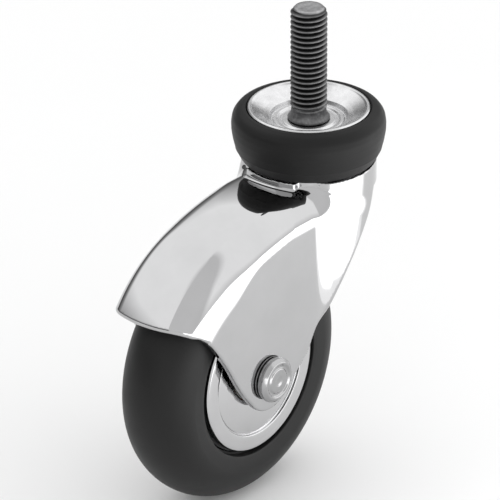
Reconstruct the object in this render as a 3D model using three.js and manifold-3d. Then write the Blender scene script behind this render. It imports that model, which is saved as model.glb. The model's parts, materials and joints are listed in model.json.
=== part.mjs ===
// Swivel caster wheel with a threaded stem, for the foot of an office chair.
// Units are millimetres. Z is up, along the swivel axis, and Z = 0 is the plane of the raceway
// cup's rim, which seats against the underside of the furniture. The axle lies along Y, and the
// wheel trails towards -X.

import * as THREE from 'three';
import { mergeVertices } from 'three/addons/utils/BufferGeometryUtils.js';
import Module from 'manifold-3d';

// ---- Driving dimensions -----------------------------------------------------------------------

const CLEARANCE = 0.3; // gap left between pieces that touch on the real caster

// Threaded stem and the swivel pin below it
const STEM_RADIUS = 5.0;
const STEM_ROOT_RADIUS = 4.1;
const STEM_PITCH = 1.5;
const STEM_TOP = 29.0;
const STEM_CHAMFER = 1.0;
const THREAD_BOTTOM = -0.6;
const SHANK_RADIUS = 4.8;
const COLLAR_RADIUS = 5.75;
const COLLAR_BASE = -3.4;
const PIN_RADIUS = 4.0;
const PIN_END = -32.4;

// Raceway cup and the rubber bumper around it
const CUP_RADIUS = 16.7;
const CUP_LAND = 1.0; // flat seating rim
const CUP_SKIRT_INNER = 15.2;
const CUP_SKIRT_BOTTOM = -13.6;
const CUP_FLOOR = COLLAR_BASE - CLEARANCE;
const CUP_FLOOR_UNDERSIDE = -5.2;
const CUP_RECESS_RADIUS = 10.5;
const BUMPER_RADIUS = 21.0;
const BUMPER_BOTTOM = -14.6;
const BUMPER_BOTTOM_RADIUS = 18.5;

// Two ball races
const UPPER_RACE = { circle: 12.2, height: -6.5, ball: 2.0, count: 16 };
const LOWER_RACE = { circle: 8.0, height: -22.5, ball: 1.6, count: 12 };
const RACE_GAP = 0.25; // radial room between a ball and the groove it runs in

// Fork
const TRAIL = 34.8; // swivel axis to axle
const AXLE_DROP = 64.0; // cup rim to axle
const FORK_HALF_WIDTH = 15.0;
const LEG_INNER = 12.8;
const NECK_RADIUS = 18.5;
const NECK_TOP = -15.2;
const NECK_RING_BOTTOM = -22.0;
const NECK_WALL = 2.5;
const NECK_BOSS_RADIUS = 15.0;
const NECK_BOSS_TOP = -10.7;
const HUB_RADIUS = 14.5;
const HUB_BOTTOM = -26.0;
const HUB_POCKET_RADIUS = 11.5;
const HUB_POCKET_TOP = -19.3;
const CROWN_RADIUS = 44.4; // outside of the hood, measured from the axle
const CROWN_WALL = 2.6;
const CROWN_ARC_END = 74; // degrees round the axle from straight ahead, where the crown leaves its arc
const CROWN_RISE = 0.0047; // how fast it then climbs to the neck, mm per square degree
const CROWN_TOP = -16.6;
const SHOULDER_DEEP = 13; // the oval shoulder's reach down the side
const SHOULDER_WIDE = 6.5; // and its reach across the crown
const SHOULDER_WALL = 2.1; // how much smaller the shoulder is on the inside
const CROWN_CAMBER = 62; // radius of the slight rounding across the crown
const CROWN_CAMBER_HALF = 11; // and how far from mid-width it keeps on falling
const LIP_ANGLE = 35.2; // degrees round the axle, at mid-width
const LIP_BOW = 3.2; // how much further round the lip ends at the sides
const BODY_CUT = 2; // the side view is cut this many degrees short of the lip, to leave the lip whole
const BOSS_RADIUS = 9.5; // rounded end of each leg

// Wheel
const WHEEL_RADIUS = 37.5;
const TYRE_HALF_WIDTH = 11.5;
const TYRE_CROWN_HEIGHT = 10.0;
const TYRE_SEAT_RADIUS = 22.8;
const TYRE_SEAT_HALF_WIDTH = 8.6;
const TYRE_MOUTH_RADIUS = 23.4;
const DISC_RADIUS = 22.0;
const DISC_FACE = 11.3;
const DISC_THICKNESS = 0.8;
const GROOVE_RADIUS = 17.2; // the groove between the disc's rim and its dome
const GROOVE_DEPTH = 0.7;
const CORE_BORE = 6.5;

// Axle
const AXLE_HEAD_RADIUS = 6.3;
const AXLE_HEAD_FACE = 17.8;
const SCREW_RADIUS = 3.0;
const BARREL_BORE = SCREW_RADIUS + CLEARANCE;
const BARREL_RADIUS = 4.2;
const LEG_HOLE_RADIUS = BARREL_RADIUS + CLEARANCE;

// Facets round each turned piece
const FINE = 48;
const MEDIUM = 36;
const COARSE = 24;

// ---- Materials --------------------------------------------------------------------------------

function material(color, roughness, metalness) {
  return new THREE.MeshStandardMaterial({ color, roughness, metalness });
}

const chrome = () => material(0xdadcde, 0.08, 1.0);
const zincPlate = () => material(0xc9cccf, 0.32, 1.0);
const stemSteel = () => material(0x5d5f61, 0.42, 1.0);
const bearingSteel = () => material(0xaeb1b4, 0.22, 1.0);
const rubber = () => material(0x232425, 0.72, 0.0);
const nylon = () => material(0xd8d6cf, 0.5, 0.0);
const corePlastic = () => material(0x2d2e30, 0.55, 0.0);

// ---- Solids -----------------------------------------------------------------------------------

const wasm = await Module();
wasm.setup();

function signedVolume(position, index) {
  const a = new THREE.Vector3();
  const b = new THREE.Vector3();
  const c = new THREE.Vector3();
  let volume = 0;
  for (let i = 0; i < index.length; i += 3) {
    a.fromBufferAttribute(position, index[i]);
    b.fromBufferAttribute(position, index[i + 1]);
    c.fromBufferAttribute(position, index[i + 2]);
    volume += a.dot(b.cross(c)) / 6;
  }
  return volume;
}

// A closed geometry as a manifold solid that faces outwards.
function solid(geometry) {
  const bare = geometry.clone();
  bare.deleteAttribute('normal');
  bare.deleteAttribute('uv');
  const merged = mergeVertices(bare, 1e-4);
  const all = Array.from(merged.index.array);
  const index = [];
  for (let i = 0; i < all.length; i += 3) {
    const [a, b, c] = all.slice(i, i + 3);
    if (a !== b && b !== c && c !== a) {
      index.push(a, b, c);
    }
  }
  if (signedVolume(merged.attributes.position, index) < 0) {
    index.reverse();
  }
  const mesh = new wasm.Mesh({
    numProp: 3,
    vertProperties: new Float32Array(merged.attributes.position.array),
    triVerts: new Uint32Array(index),
  });
  return new wasm.Manifold(mesh);
}

function meshOf(name, body, surface) {
  const data = body.getMesh();
  const geometry = new THREE.BufferGeometry();
  geometry.setAttribute('position', new THREE.BufferAttribute(new Float32Array(data.vertProperties), 3));
  geometry.setIndex(new THREE.BufferAttribute(new Uint32Array(data.triVerts), 1));
  geometry.computeVertexNormals();
  const mesh = new THREE.Mesh(geometry, surface);
  mesh.name = name;
  return mesh;
}

// A closed outline of [radius, height] pairs, turned about Z.
function turnedZ(outline, segments) {
  const points = outline.map(([r, z]) => new THREE.Vector2(r, z));
  points.push(points[0].clone());
  return new THREE.LatheGeometry(points, segments).rotateX(Math.PI / 2);
}

// A closed outline of [radius, distance along Y] pairs, turned about the axle.
function turnedOnAxle(outline, segments) {
  const points = outline.map(([r, y]) => new THREE.Vector2(r, y));
  points.push(points[0].clone());
  return new THREE.LatheGeometry(points, segments).translate(-TRAIL, 0, -AXLE_DROP);
}

// Points on an arc, angles in degrees.
function arc(centreR, centreZ, radius, from, to, steps) {
  const points = [];
  for (let i = 0; i <= steps; i += 1) {
    const angle = THREE.MathUtils.degToRad(from + ((to - from) * i) / steps);
    points.push([centreR + radius * Math.cos(angle), centreZ + radius * Math.sin(angle)]);
  }
  return points;
}

// A side outline of [x, z] pairs, extruded across the fork from -halfWidth to +halfWidth.
function sidePlate(outline, halfWidth) {
  const shape = new THREE.Shape(outline.map(([x, z]) => new THREE.Vector2(x, z)));
  const geometry = new THREE.ExtrudeGeometry(shape, { depth: 2 * halfWidth, bevelEnabled: false });
  return geometry.rotateX(Math.PI / 2).translate(0, halfWidth, 0);
}

// Mirror image of an outline across the wheel's mid plane, for the far-side twin of a piece.
function mirrored(outline) {
  return outline.map(([r, y]) => [r, -y]).reverse();
}

// ---- Threaded stem ----------------------------------------------------------------------------

// One continuous helical ridge: rows follow the helix, so row j at the end of a turn is row
// j + ROWS_PER_TURN at its start. Both ends are closed to a point on the axis, and are cut off
// afterwards.
function helicalBar() {
  const segments = 18;
  const flats = [
    [0, STEM_ROOT_RADIUS],
    [0.2, STEM_ROOT_RADIUS],
    [0.52, STEM_RADIUS],
    [0.68, STEM_RADIUS],
  ];
  const rowsPerTurn = flats.length;
  const start = THREAD_BOTTOM - 2 * STEM_PITCH;
  const turns = Math.ceil((STEM_TOP - start) / STEM_PITCH) + 1;
  const rows = turns * rowsPerTurn;
  const positions = [];
  const index = [];
  for (let j = 0; j <= rows; j += 1) {
    const [fraction, radius] = flats[j % rowsPerTurn];
    const base = start + (Math.floor(j / rowsPerTurn) + fraction) * STEM_PITCH;
    for (let i = 0; i <= segments; i += 1) {
      const angle = (2 * Math.PI * i) / segments;
      const height = base + (STEM_PITCH * i) / segments;
      positions.push(radius * Math.cos(angle), radius * Math.sin(angle), height);
    }
  }
  const at = (j, i) => j * (segments + 1) + i;
  for (let j = 0; j < rows; j += 1) {
    for (let i = 0; i < segments; i += 1) {
      index.push(at(j, i), at(j, i + 1), at(j + 1, i));
      index.push(at(j, i + 1), at(j + 1, i + 1), at(j + 1, i));
    }
  }
  // End faces: the boundary runs once round the helix and back along the seam.
  const bottomCentre = positions.length / 3;
  positions.push(0, 0, start - STEM_PITCH);
  const topCentre = bottomCentre + 1;
  positions.push(0, 0, start + (turns + 2) * STEM_PITCH);
  for (let i = 0; i < segments; i += 1) {
    index.push(at(0, i + 1), at(0, i), bottomCentre);
    index.push(at(rows, i), at(rows, i + 1), topCentre);
  }
  for (let j = 0; j < rowsPerTurn; j += 1) {
    index.push(at(j, 0), at(j + 1, 0), bottomCentre);
    index.push(at(rows - j, segments), at(rows - j - 1, segments), topCentre);
  }
  const geometry = new THREE.BufferGeometry();
  geometry.setAttribute('position', new THREE.Float32BufferAttribute(positions, 3));
  geometry.setIndex(index);
  return geometry;
}

function threadedStem() {
  const envelope = solid(
    turnedZ(
      [
        [0, THREAD_BOTTOM],
        [STEM_RADIUS + 1, THREAD_BOTTOM],
        [STEM_RADIUS + 1, STEM_TOP - STEM_CHAMFER - 1],
        [STEM_RADIUS - STEM_CHAMFER, STEM_TOP],
        [0, STEM_TOP],
      ],
      COARSE,
    ),
  );
  const shank = solid(
    turnedZ(
      [
        [0, PIN_END],
        [PIN_RADIUS - 0.6, PIN_END],
        [PIN_RADIUS, PIN_END + 0.6],
        [PIN_RADIUS, COLLAR_BASE],
        [COLLAR_RADIUS, COLLAR_BASE],
        [COLLAR_RADIUS, COLLAR_BASE + 0.5],
        [SHANK_RADIUS + 0.3, COLLAR_BASE + 1.4],
        [SHANK_RADIUS, THREAD_BOTTOM],
        [STEM_ROOT_RADIUS, THREAD_BOTTOM + 0.5],
        [0, THREAD_BOTTOM + 0.5],
      ],
      COARSE,
    ),
  );
  return meshOf('threaded_stem', solid(helicalBar()).intersect(envelope).add(shank), stemSteel());
}

// ---- Raceway cup, bumper, races and balls -----------------------------------------------------

function racewayCup() {
  const groove = UPPER_RACE.ball + RACE_GAP;
  const { circle, height } = UPPER_RACE;
  const outline = [
    [PIN_RADIUS + CLEARANCE, CUP_FLOOR_UNDERSIDE],
    [circle - groove, CUP_FLOOR_UNDERSIDE],
    ...arc(circle, height, groove, 125, 0, 6),
    [CUP_SKIRT_INNER, height],
    [CUP_SKIRT_INNER, CUP_SKIRT_BOTTOM],
    [CUP_RADIUS, CUP_SKIRT_BOTTOM],
    [CUP_RADIUS, -0.4],
    [CUP_RADIUS - 0.3, 0],
    [CUP_RADIUS - CUP_LAND, 0],
    [CUP_RADIUS - CUP_LAND - 0.3, -0.3],
    [CUP_RECESS_RADIUS, -3.0],
    [CUP_RECESS_RADIUS - 0.3, CUP_FLOOR],
    [9.1, CUP_FLOOR],
    [8.9, CUP_FLOOR - 0.45],
    [8.2, CUP_FLOOR - 0.45],
    [8.0, CUP_FLOOR],
    [PIN_RADIUS + CLEARANCE, CUP_FLOOR],
  ];
  return meshOf('top_raceway_cup', solid(turnedZ(outline, FINE)), zincPlate());
}

function bumperRing() {
  const inner = CUP_RADIUS + CLEARANCE;
  const outline = [
    [inner, BUMPER_BOTTOM + 0.6],
    [inner + 0.5, BUMPER_BOTTOM],
    [BUMPER_BOTTOM_RADIUS - 0.4, BUMPER_BOTTOM],
    [BUMPER_BOTTOM_RADIUS, BUMPER_BOTTOM + 0.5],
    [19.75, -12.0],
    [20.05, -11.2],
    [20.55, -9.0],
    [20.9, -6.6],
    [BUMPER_RADIUS, -4.8],
    [20.75, -3.2],
    [20.1, -1.9],
    [19.1, -0.9],
    [18.1, -0.4],
    [inner + 0.2, -0.4],
    [inner, -0.7],
  ];
  return meshOf('bumper_ring', solid(turnedZ(outline, FINE)), rubber());
}

function upperCrownRace() {
  const { circle, height, ball } = UPPER_RACE;
  const seat = NECK_BOSS_TOP + CLEARANCE;
  const outline = [
    [circle + 1.9, seat],
    ...arc(circle, height, ball + RACE_GAP, -48, -180, 6),
    [circle - ball - 1.0, height],
    [circle - ball - 1.0, seat],
  ];
  return meshOf('upper_crown_race', solid(turnedZ(outline, MEDIUM)), bearingSteel());
}

function lowerCrownRace() {
  const { circle, height, ball } = LOWER_RACE;
  const seat = HUB_POCKET_TOP - CLEARANCE;
  const outline = [
    [circle - 1.2, seat],
    ...arc(circle, height, ball + RACE_GAP, 130, 0, 6),
    [HUB_POCKET_RADIUS - CLEARANCE, height],
    [HUB_POCKET_RADIUS - CLEARANCE, seat],
  ];
  return meshOf('lower_crown_race', solid(turnedZ(outline, MEDIUM)), bearingSteel());
}

const CONE_BASE = LOWER_RACE.height - 3.1;
const WASHER_TOP = CONE_BASE - CLEARANCE;
const WASHER_THICKNESS = 1.2;
const NUT_TOP = WASHER_TOP - WASHER_THICKNESS - CLEARANCE;
const NUT_HEIGHT = 4.0;
const NUT_RADIUS = 7.5;

function lowerCone() {
  const { circle, height, ball } = LOWER_RACE;
  const outline = [
    [PIN_RADIUS + CLEARANCE, height],
    ...arc(circle, height, ball + RACE_GAP, 180, 295, 6),
    [circle + 1.3, CONE_BASE + 0.5],
    [circle + 1.3, CONE_BASE],
    [PIN_RADIUS + CLEARANCE, CONE_BASE],
  ];
  return meshOf('lower_bearing_cone', solid(turnedZ(outline, MEDIUM)), bearingSteel());
}

function pinWasher() {
  const bottom = WASHER_TOP - WASHER_THICKNESS;
  const outline = [
    [PIN_RADIUS + CLEARANCE, bottom],
    [NUT_RADIUS + 0.4, bottom],
    [NUT_RADIUS + 0.4, WASHER_TOP],
    [PIN_RADIUS + CLEARANCE, WASHER_TOP],
  ];
  return meshOf('pin_washer', solid(turnedZ(outline, COARSE)), zincPlate());
}

function pinNut() {
  const bottom = NUT_TOP - NUT_HEIGHT;
  const bar = solid(
    turnedZ(
      [
        [0, bottom],
        [NUT_RADIUS, bottom],
        [NUT_RADIUS, NUT_TOP],
        [0, NUT_TOP],
      ],
      6,
    ),
  );
  const bore = solid(
    turnedZ(
      [
        [0, bottom - 1],
        [PIN_RADIUS + CLEARANCE, bottom - 1],
        [PIN_RADIUS + CLEARANCE, NUT_TOP + 1],
        [0, NUT_TOP + 1],
      ],
      COARSE,
    ),
  );
  return meshOf('pin_nut', bar.subtract(bore), zincPlate());
}

function balls(prefix, race) {
  const made = [];
  for (let i = 0; i < race.count; i += 1) {
    const angle = (2 * Math.PI * (i + 0.5)) / race.count;
    const ball = new THREE.IcosahedronGeometry(race.ball, 1);
    ball.translate(race.circle * Math.cos(angle), race.circle * Math.sin(angle), race.height);
    made.push(meshOf(`${prefix}_${String(i + 1).padStart(2, '0')}`, solid(ball), bearingSteel()));
  }
  return made;
}

// ---- Fork -------------------------------------------------------------------------------------

// Distance from the axle to the outside of the crown, at an angle from straight ahead.
function crownRadius(degrees) {
  const angle = THREE.MathUtils.degToRad(degrees);
  const past = Math.max(0, degrees - CROWN_ARC_END);
  const climbing = CROWN_RADIUS + CROWN_RISE * past * past;
  const ceiling = (AXLE_DROP + CROWN_TOP) / Math.sin(angle);
  return degrees > 90 ? Math.min(climbing, ceiling) : climbing;
}

function fromAxle(radius, degrees) {
  const angle = THREE.MathUtils.degToRad(degrees);
  return [-TRAIL - radius * Math.cos(angle), -AXLE_DROP + radius * Math.sin(angle)];
}

// How far the crown falls away from its mid-width line.
function camber(y) {
  const across = Math.min(Math.abs(y), CROWN_CAMBER_HALF);
  return (across * across) / (2 * CROWN_CAMBER);
}

// The lip of the hood bows: it ends further round the axle at the sides than at mid-width.
function lipAngle(y) {
  return LIP_ANGLE + LIP_BOW * (Math.abs(y) / FORK_HALF_WIDTH) ** 2;
}

// The block under the crown: cross-sections fan out round the axle, each with oval shoulders.
function crownBlock() {
  const lastAngle = 128;
  const stations = 24;
  const shoulderSteps = 7;
  const root = 4;
  const leftSide = [];
  for (let i = 0; i <= shoulderSteps; i += 1) {
    const turn = (Math.PI / 2) * (i / shoulderSteps);
    const across = FORK_HALF_WIDTH - SHOULDER_WIDE * (1 - Math.cos(turn));
    leftSide.push([-across, camber(across) + SHOULDER_DEEP * (1 - Math.sin(turn))]);
  }
  const rightSide = leftSide.map(([y, drop]) => [-y, drop]).reverse();
  const flatHalf = FORK_HALF_WIDTH - SHOULDER_WIDE;
  const middle = [-0.5, 0, 0.5].map((part) => [part * flatHalf, camber(part * flatHalf)]);
  const top = [...leftSide, ...middle, ...rightSide];
  const bottom = top.map(([y]) => [y, null]).reverse();
  const ring = [...top, ...bottom];
  const positions = [];
  const index = [];
  for (let s = 0; s <= stations; s += 1) {
    ring.forEach(([y, drop]) => {
      const firstAngle = lipAngle(y);
      const degrees = firstAngle + ((lastAngle - firstAngle) * s) / stations;
      const [x, z] = fromAxle(drop === null ? root : crownRadius(degrees) - drop, degrees);
      positions.push(x, y, z);
    });
  }
  const n = ring.length;
  for (let s = 0; s < stations; s += 1) {
    for (let i = 0; i < n; i += 1) {
      const a = s * n + i;
      const b = s * n + ((i + 1) % n);
      index.push(a, b, a + n);
      index.push(b, b + n, a + n);
    }
  }
  const last = stations * n;
  for (let i = 0; i < top.length - 1; i += 1) {
    const under = n - 1 - i;
    index.push(i, under, i + 1);
    index.push(i + 1, under, under - 1);
    index.push(last + i, last + i + 1, last + under);
    index.push(last + i + 1, last + under - 1, last + under);
  }
  const geometry = new THREE.BufferGeometry();
  geometry.setAttribute('position', new THREE.Float32BufferAttribute(positions, 3));
  geometry.setIndex(index);
  return geometry;
}

// Rear edge of the cheeks: a straight line that leans forward on its way down.
const REAR_LEAN = 0.645; // forward travel for each millimetre down
const REAR_AT_RING = 7.2;

function rearEdge(z) {
  return REAR_AT_RING + (z - NECK_RING_BOTTOM) * REAR_LEAN;
}

// Side view of the fork, from the lip down the front edge, round the axle and up the rear edge.
function sideOutline() {
  const clearOfLip = LIP_ANGLE - BODY_CUT;
  const lip = fromAxle(CROWN_RADIUS + 4, clearOfLip);
  const lipRoot = [-TRAIL - 24.3, -AXLE_DROP + 18.9];
  const rearCorner = -58.8;
  return [
    [lip[0], 0],
    lip,
    fromAxle(CROWN_RADIUS - SHOULDER_DEEP + 4, clearOfLip),
    lipRoot,
    [-TRAIL - 20.5, -AXLE_DROP + 13.8],
    [-TRAIL - 17.2, -AXLE_DROP + 8.9],
    [-TRAIL - 14.6, -AXLE_DROP + 4.2],
    [-TRAIL - 11.2, -AXLE_DROP - 1.2],
    ...arc(-TRAIL, -AXLE_DROP, BOSS_RADIUS, 214, 325, 9),
    [-TRAIL + 15.4, -AXLE_DROP + 0.6],
    [-TRAIL + 17.2, -AXLE_DROP + 2.8],
    [rearEdge(rearCorner), rearCorner],
    [rearEdge(NECK_RING_BOTTOM), NECK_RING_BOTTOM],
    [rearEdge(NECK_RING_BOTTOM), NECK_TOP],
    [0, NECK_TOP],
    [0, 0],
  ];
}

function wheelSpace() {
  const radius = CROWN_RADIUS - CROWN_WALL;
  const deep = SHOULDER_DEEP - SHOULDER_WALL;
  const wide = SHOULDER_WIDE - SHOULDER_WALL;
  const corner = arc(0, 0, 1, 0, 90, 6).map(([r, y]) => [radius - deep * (1 - r), LEG_INNER - wide * (1 - y)]);
  const outline = [
    [0, -LEG_INNER],
    ...corner.map(([r, y]) => [r, -y]).reverse(),
    ...corner,
    [0, LEG_INNER],
  ];
  return solid(turnedOnAxle(outline, 72));
}

// Side view of the flat cheeks and legs, which start where the shoulders end.
function cheekOutline() {
  const underShoulder = CROWN_RADIUS - SHOULDER_DEEP;
  const legs = sideOutline().filter(([, z]) => z < -AXLE_DROP + 19);
  const cheekTop = NECK_RING_BOTTOM - 2.5;
  const neckLength = 22;
  const neckDrop = 4.5;
  return [
    fromAxle(underShoulder, LIP_ANGLE + 11),
    ...legs,
    [rearEdge(cheekTop), cheekTop],
    [rearEdge(cheekTop) - neckLength, cheekTop - neckDrop],
    fromAxle(underShoulder, 100),
    fromAxle(underShoulder, 85),
    fromAxle(underShoulder, 70),
    fromAxle(underShoulder, 57),
  ];
}

function forkHood() {
  const above = 30;
  const hood = solid(crownBlock()).intersect(solid(sidePlate(sideOutline(), FORK_HALF_WIDTH + 1)));
  const cheeks = solid(sidePlate(cheekOutline(), FORK_HALF_WIDTH));
  const neckSide = solid(
    turnedZ(
      [
        [0, -60],
        [NECK_RADIUS, -60],
        [NECK_RADIUS, NECK_TOP - 0.4],
        [NECK_RADIUS - 0.4, NECK_TOP],
        [0, NECK_TOP],
      ],
      FINE,
    ),
  );
  const behind = solid(
    sidePlate(
      [
        [-above, 0],
        [-above, -AXLE_DROP],
        [rearEdge(-AXLE_DROP), -AXLE_DROP],
        [rearEdge(NECK_RING_BOTTOM), NECK_RING_BOTTOM],
        [above, NECK_RING_BOTTOM],
        [above, 0],
      ],
      above,
    ),
  );
  const hub = solid(
    turnedZ(
      [
        [0, HUB_BOTTOM],
        [HUB_RADIUS, HUB_BOTTOM],
        [HUB_RADIUS, NECK_RING_BOTTOM],
        [NECK_BOSS_RADIUS, NECK_TOP - 1],
        [NECK_BOSS_RADIUS, NECK_BOSS_TOP],
        [0, NECK_BOSS_TOP],
      ],
      FINE,
    ),
  );
  const neckHollow = solid(
    turnedZ(
      [
        [0, -AXLE_DROP],
        [NECK_RADIUS - NECK_WALL, -AXLE_DROP],
        [NECK_RADIUS - NECK_WALL, HUB_BOTTOM],
        [0, HUB_BOTTOM],
      ],
      FINE,
    ),
  );
  const pinBore = solid(
    turnedZ(
      [
        [0, -60],
        [HUB_POCKET_RADIUS, -60],
        [HUB_POCKET_RADIUS, HUB_POCKET_TOP],
        [PIN_RADIUS + 1, HUB_POCKET_TOP],
        [PIN_RADIUS + 1, 0],
        [0, 0],
      ],
      MEDIUM,
    ),
  );
  const axleHole = solid(
    turnedOnAxle(
      [
        [0, -above],
        [LEG_HOLE_RADIUS, -above],
        [LEG_HOLE_RADIUS, above],
        [0, above],
      ],
      MEDIUM,
    ),
  );
  const outside = hood.add(cheeks).add(neckSide.intersect(behind)).add(hub);
  const inside = wheelSpace().add(neckHollow).add(pinBore).add(axleHole);
  return meshOf('fork_hood', outside.subtract(inside), chrome());
}

// ---- Wheel ------------------------------------------------------------------------------------

function tyre() {
  const crown = [];
  const steps = 14;
  for (let i = 0; i <= steps; i += 1) {
    const turn = -Math.PI / 2 + (Math.PI * i) / steps;
    const radius = WHEEL_RADIUS - TYRE_CROWN_HEIGHT * (1 - Math.cos(turn));
    crown.push([radius, TYRE_HALF_WIDTH * Math.sin(turn)]);
  }
  const outline = [
    [TYRE_SEAT_RADIUS, -TYRE_SEAT_HALF_WIDTH],
    [TYRE_MOUTH_RADIUS, -TYRE_SEAT_HALF_WIDTH],
    [TYRE_MOUTH_RADIUS, 0.8 - TYRE_HALF_WIDTH],
    [TYRE_MOUTH_RADIUS + 0.6, 0.3 - TYRE_HALF_WIDTH],
    ...crown,
    [TYRE_MOUTH_RADIUS + 0.6, TYRE_HALF_WIDTH - 0.3],
    [TYRE_MOUTH_RADIUS, TYRE_HALF_WIDTH - 0.8],
    [TYRE_MOUTH_RADIUS, TYRE_SEAT_HALF_WIDTH],
    [TYRE_SEAT_RADIUS, TYRE_SEAT_HALF_WIDTH],
  ];
  return meshOf('tyre', solid(turnedOnAxle(outline, FINE)), rubber());
}

function wheelCore() {
  const hubHalf = 9.6;
  const hubRadius = 9.6;
  const webHalf = 1.6;
  const rimInner = 19.4;
  const rimOuter = TYRE_SEAT_RADIUS - CLEARANCE;
  const rimHalf = TYRE_SEAT_HALF_WIDTH;
  const outline = [
    [CORE_BORE, -hubHalf],
    [hubRadius, -hubHalf],
    [hubRadius, -webHalf],
    [rimInner, -webHalf],
    [rimInner, -rimHalf],
    [rimOuter, -rimHalf],
    [rimOuter, rimHalf],
    [rimInner, rimHalf],
    [rimInner, webHalf],
    [hubRadius, webHalf],
    [hubRadius, hubHalf],
    [CORE_BORE, hubHalf],
  ];
  return meshOf('wheel_core', solid(turnedOnAxle(outline, MEDIUM)), corePlastic());
}

// Pressed cover disc: a flat rim, a fine pressed groove and a low dome up to the hub.
function discOutline() {
  const face = -DISC_FACE;
  const front = [
    [DISC_RADIUS - 0.3, face + 0.05],
    [DISC_RADIUS - 0.9, face],
    [GROOVE_RADIUS + 0.5, face],
    [GROOVE_RADIUS + 0.2, face + GROOVE_DEPTH],
    [GROOVE_RADIUS - 0.6, face + GROOVE_DEPTH - 0.2],
    [13.0, face + 0.12],
    [CORE_BORE + 0.4, face],
  ];
  const back = front.map(([r, y]) => [r, y + DISC_THICKNESS]).reverse();
  back.pop();
  return [
    ...front,
    ...back,
    [DISC_RADIUS - 0.8, face + 2.2],
    [DISC_RADIUS, face + 2.2],
    [DISC_RADIUS, face + 0.35],
  ];
}

function bushOutline() {
  const flange = -LEG_INNER + CLEARANCE;
  return [
    [BARREL_RADIUS + CLEARANCE, -1],
    [BARREL_RADIUS + CLEARANCE, flange],
    [8.2, flange],
    [8.2, flange + 0.9],
    [CORE_BORE - CLEARANCE, flange + 0.9],
    [CORE_BORE - CLEARANCE, -1],
  ];
}

// ---- Axle -------------------------------------------------------------------------------------

const WASHER_FACE = FORK_HALF_WIDTH + 0.8;
const WASHER_RADIUS = AXLE_HEAD_RADIUS - 0.2;
const HEAD_BACK = WASHER_FACE + 0.25;

// Round head with a rolled rim, a shallow recessed ring and a centre dimple.
function headOutline() {
  const face = -AXLE_HEAD_FACE;
  return [
    [0, face + 0.35],
    [1.3, face + 0.25],
    [1.9, face],
    [3.4, face],
    [3.8, face + 0.3],
    [4.4, face + 0.3],
    [4.8, face],
    [AXLE_HEAD_RADIUS - 0.6, face],
    [AXLE_HEAD_RADIUS, face + 0.6],
    [AXLE_HEAD_RADIUS, -HEAD_BACK],
  ];
}

function axleScrew() {
  const outline = [...headOutline(), [SCREW_RADIUS, -HEAD_BACK], [SCREW_RADIUS, 12], [0, 12.5]];
  return meshOf('axle_screw', solid(turnedOnAxle(outline, COARSE)), chrome());
}

function axleBarrel() {
  const outline = [
    ...headOutline(),
    [BARREL_RADIUS, -HEAD_BACK],
    [BARREL_RADIUS, FORK_HALF_WIDTH - 0.2],
    [BARREL_BORE, FORK_HALF_WIDTH - 0.2],
    [BARREL_BORE, -13],
    [0, -13],
  ];
  return meshOf('axle_barrel_nut', solid(turnedOnAxle(mirrored(outline), COARSE)), chrome());
}

function axleWasherOutline() {
  return [
    [BARREL_RADIUS + CLEARANCE, -WASHER_FACE],
    [WASHER_RADIUS, -WASHER_FACE],
    [WASHER_RADIUS, -FORK_HALF_WIDTH - 0.25],
    [BARREL_RADIUS + CLEARANCE, -FORK_HALF_WIDTH - 0.25],
  ];
}

// A left and a right copy of an axle piece.
function pair(base, outline, segments, surface) {
  return [
    meshOf(`${base}_left`, solid(turnedOnAxle(outline, segments)), surface()),
    meshOf(`${base}_right`, solid(turnedOnAxle(mirrored(outline), segments)), surface()),
  ];
}

// ---- Assembly ---------------------------------------------------------------------------------

function group(name, ...meshes) {
  const made = new THREE.Group();
  made.name = name;
  made.add(...meshes);
  return made;
}

const caster = group(
  'chair_caster',
  group(
    'stem_assembly',
    threadedStem(),
    racewayCup(),
    bumperRing(),
    lowerCone(),
    pinWasher(),
    pinNut(),
  ),
  group('upper_ball_set', ...balls('upper_ball', UPPER_RACE)),
  group('lower_ball_set', ...balls('lower_ball', LOWER_RACE)),
  group(
    'fork_assembly',
    forkHood(),
    upperCrownRace(),
    lowerCrownRace(),
    axleScrew(),
    axleBarrel(),
    ...pair('axle_washer', axleWasherOutline(), COARSE, stemSteel),
  ),
  group(
    'wheel_assembly',
    tyre(),
    wheelCore(),
    ...pair('cover_disc', discOutline(), MEDIUM, chrome),
    ...pair('hub_bush', bushOutline(), COARSE, nylon),
  ),
);

export default caster;
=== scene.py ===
"""Looks for the chair caster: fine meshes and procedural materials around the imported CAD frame.

Everything is in metres in the frame's own axes: +Z up the swivel axis, Y along the axle, and the
wheel trailing towards -X. Lengths in this file are written in millimetres and scaled by MM.
"""

import json
import math

import bmesh
import bpy
import numpy as np
from mathutils import Matrix, Vector


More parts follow.
